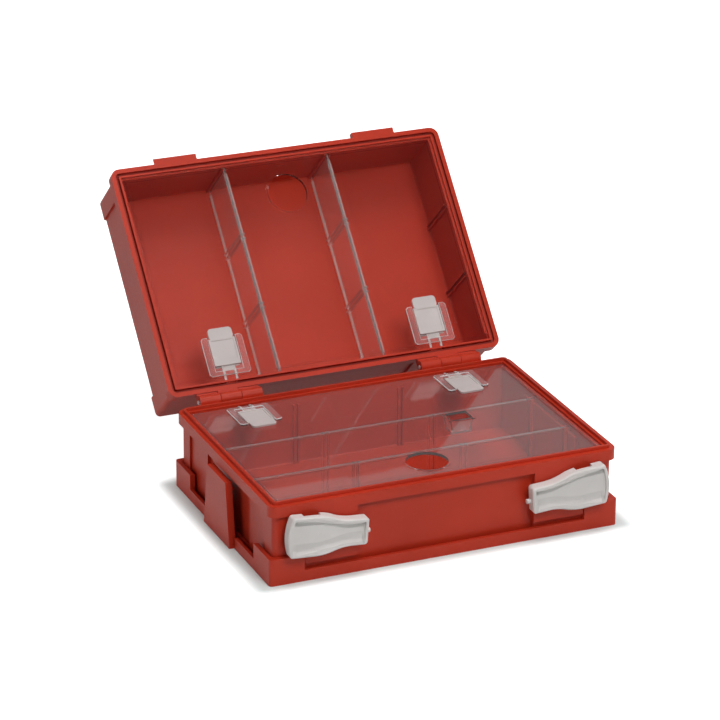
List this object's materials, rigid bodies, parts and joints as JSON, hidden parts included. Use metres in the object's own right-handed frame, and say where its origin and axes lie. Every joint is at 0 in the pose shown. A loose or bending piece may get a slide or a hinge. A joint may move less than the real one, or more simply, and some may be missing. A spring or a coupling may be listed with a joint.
{
  "type": "first aid kit case",
  "caption": "Hinged two-part wall case for first aid supplies, open in its wall bracket, with turning front latches, clear inner covers, slide bolts, dividers and a folding handle.",
  "frame": {"origin": "middle of the wall face of the bracket", "axes": "+Z away from the wall, +X to the right, +Y from the front of the case to its hinge"},
  "size_m": [0.3202, 0.4224, 0.2352],
  "materials": {
    "bracket_red": "moulded, satin",
    "shell_red": "moulded, satin",
    "handle_red": "moulded, satin",
    "seal_rubber": "matt",
    "steel": "drawn",
    "latch_white": "moulded, fine grain",
    "washer_white": "moulded",
    "bolt_white": "moulded",
    "clear_plastic": "clear, polished"
  },
  "bodies": {
    "bracket": {"wall_bracket": "bracket_red"},
    "case_base": {"base_shell": "shell_red", "hinge_pin_left": "steel", "hinge_pin_right": "steel", "base_divider_front": "clear_plastic", "base_divider_rear": "clear_plastic"},
    "lid": {"lid_shell": "shell_red", "lid_seal": "seal_rubber", "lid_divider_left": "clear_plastic", "lid_divider_right": "clear_plastic", "handle_pin_left": "steel", "handle_pin_right": "steel"},
    "latch_left": {"front_latch_left": "latch_white", "latch_washer_left": "washer_white", "latch_screw_left": "steel"},
    "latch_right": {"front_latch_right": "latch_white", "latch_washer_right": "washer_white", "latch_screw_right": "steel"},
    "inner_cover_base": {"base_cover": "clear_plastic"},
    "inner_cover_lid": {"lid_cover": "clear_plastic"},
    "bolt_base_left": {"base_bolt_left": "bolt_white"},
    "bolt_base_right": {"base_bolt_right": "bolt_white"},
    "bolt_lid_left": {"lid_bolt_left": "bolt_white"},
    "bolt_lid_right": {"lid_bolt_right": "bolt_white"},
    "handle": {"carry_handle": "handle_red"}
  },
  "joints": [
    {"name": "case_lift", "type": "slide", "parent": "bracket", "child": "case_base", "axis": [0, 0, 1], "range_m": [0, 0.06]},
    {"name": "lid_hinge", "type": "hinge", "parent": "case_base", "child": "lid", "pos_m": [0, 0.1143, 0.069], "axis": [-1, 0, 0], "range_deg": [-132.5, 0]},
    {"name": "latch_left_turn", "type": "hinge", "parent": "case_base", "child": "latch_left", "pos_m": [-0.095, -0.1078, 0.0406], "axis": [0, -1, 0], "range_deg": [-86, 0]},
    {"name": "latch_right_turn", "type": "hinge", "parent": "case_base", "child": "latch_right", "pos_m": [0.095, -0.1078, 0.0406], "axis": [0, 1, 0], "range_deg": [-86, 0]},
    {"name": "base_cover_hinge", "type": "hinge", "parent": "case_base", "child": "inner_cover_base", "pos_m": [0, 0.0971, 0.066], "axis": [-1, 0, 0], "range_deg": [0, 70]},
    {"name": "lid_cover_hinge", "type": "hinge", "parent": "lid", "child": "inner_cover_lid", "pos_m": [0, 0.12813, 0.07965], "axis": [1, 0, 0], "range_deg": [0, 55]},
    {"name": "base_bolt_left_slide", "type": "slide", "parent": "inner_cover_base", "child": "bolt_base_left", "axis": [0, -1, 0], "range_m": [0, 0.005]},
    {"name": "base_bolt_right_slide", "type": "slide", "parent": "inner_cover_base", "child": "bolt_base_right", "axis": [0, -1, 0], "range_m": [0, 0.005]},
    {"name": "lid_bolt_left_slide", "type": "slide", "parent": "inner_cover_lid", "child": "bolt_lid_left", "axis": [0, 0.6756, 0.7373], "range_m": [0, 0.005]},
    {"name": "lid_bolt_right_slide", "type": "slide", "parent": "inner_cover_lid", "child": "bolt_lid_right", "axis": [0, 0.6756, 0.7373], "range_m": [0, 0.005]},
    {"name": "handle_fold", "type": "hinge", "parent": "lid", "child": "handle", "pos_m": [0, 0.27287, 0.21911], "axis": [1, 0, 0], "range_deg": [0, 90]}
  ]
}
